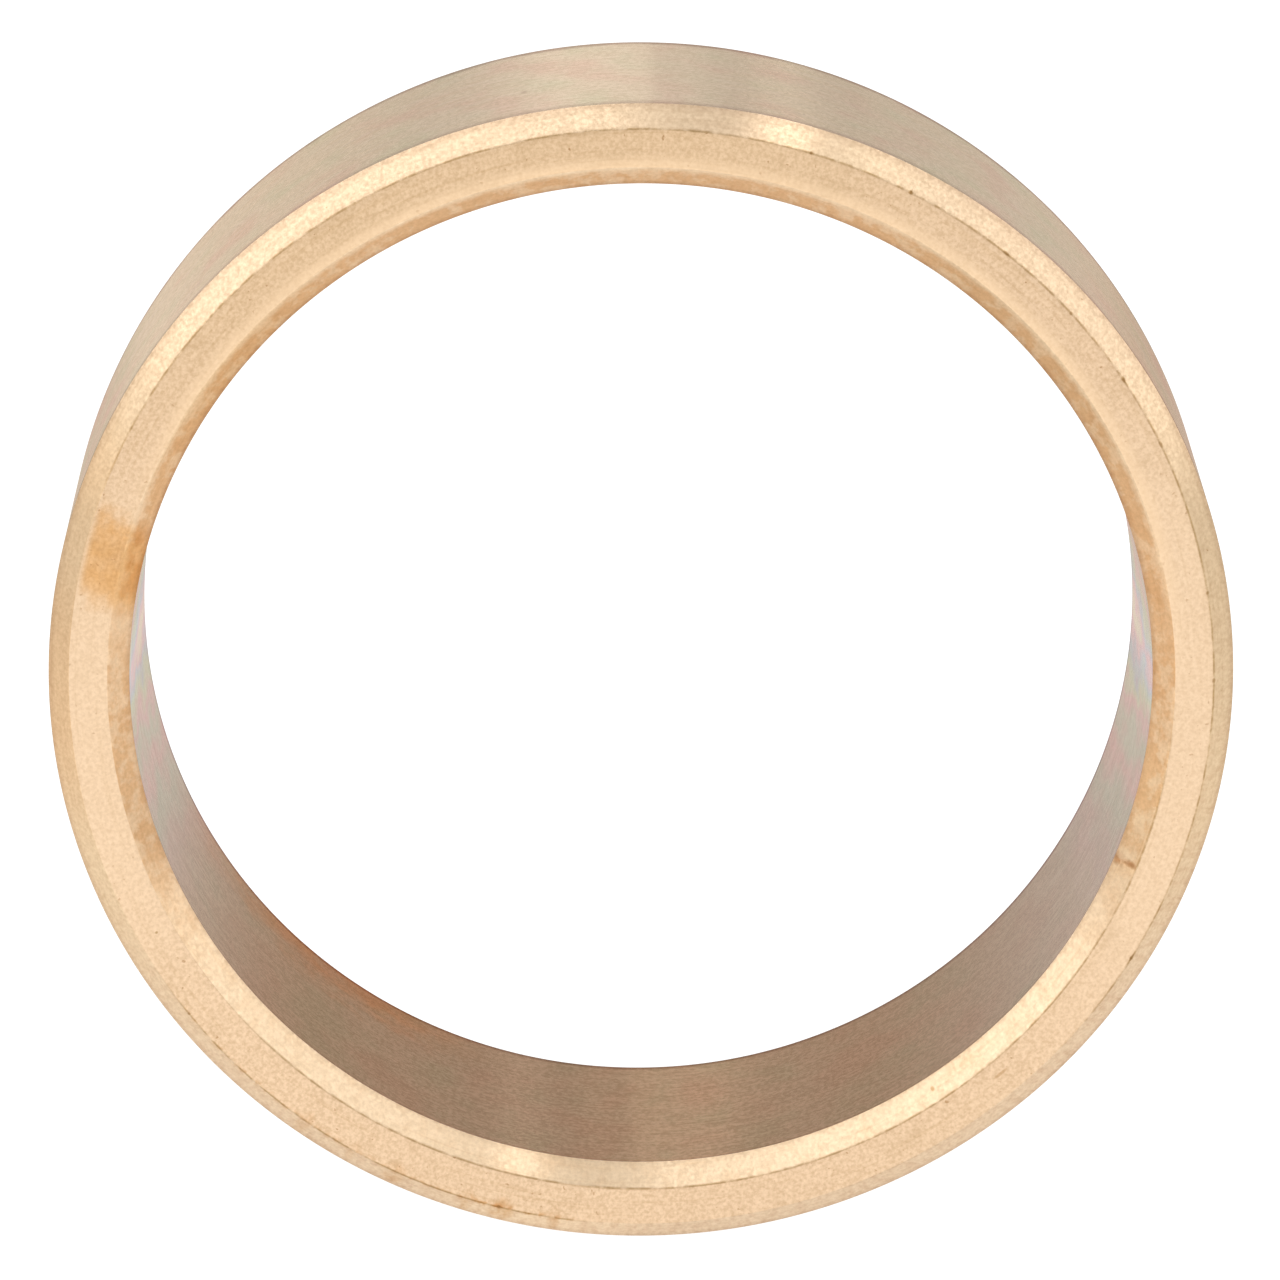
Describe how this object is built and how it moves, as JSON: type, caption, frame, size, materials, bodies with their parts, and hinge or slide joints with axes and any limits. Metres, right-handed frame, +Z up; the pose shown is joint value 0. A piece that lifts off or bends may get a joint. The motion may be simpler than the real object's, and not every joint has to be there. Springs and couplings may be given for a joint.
{
  "type": "sleeve bushing",
  "caption": "Plain bronze sleeve bushing: a thin-walled ring with a smooth running bore, a press-fit outside and chamfered rims.",
  "frame": {"origin": "on the bore axis, halfway along the sleeve", "axes": "+Y along the bore axis from the front end face to the back one, +Z up when the sleeve stands on its rim, +X to the right seen from the front"},
  "size_m": [0.0698, 0.019, 0.0698],
  "materials": {
    "bronze": "sintered bronze: sandy satin end faces and chamfers, burnished bore and outside"
  },
  "bodies": {
    "root": {"sleeve": "bronze"}
  },
  "joints": []
}
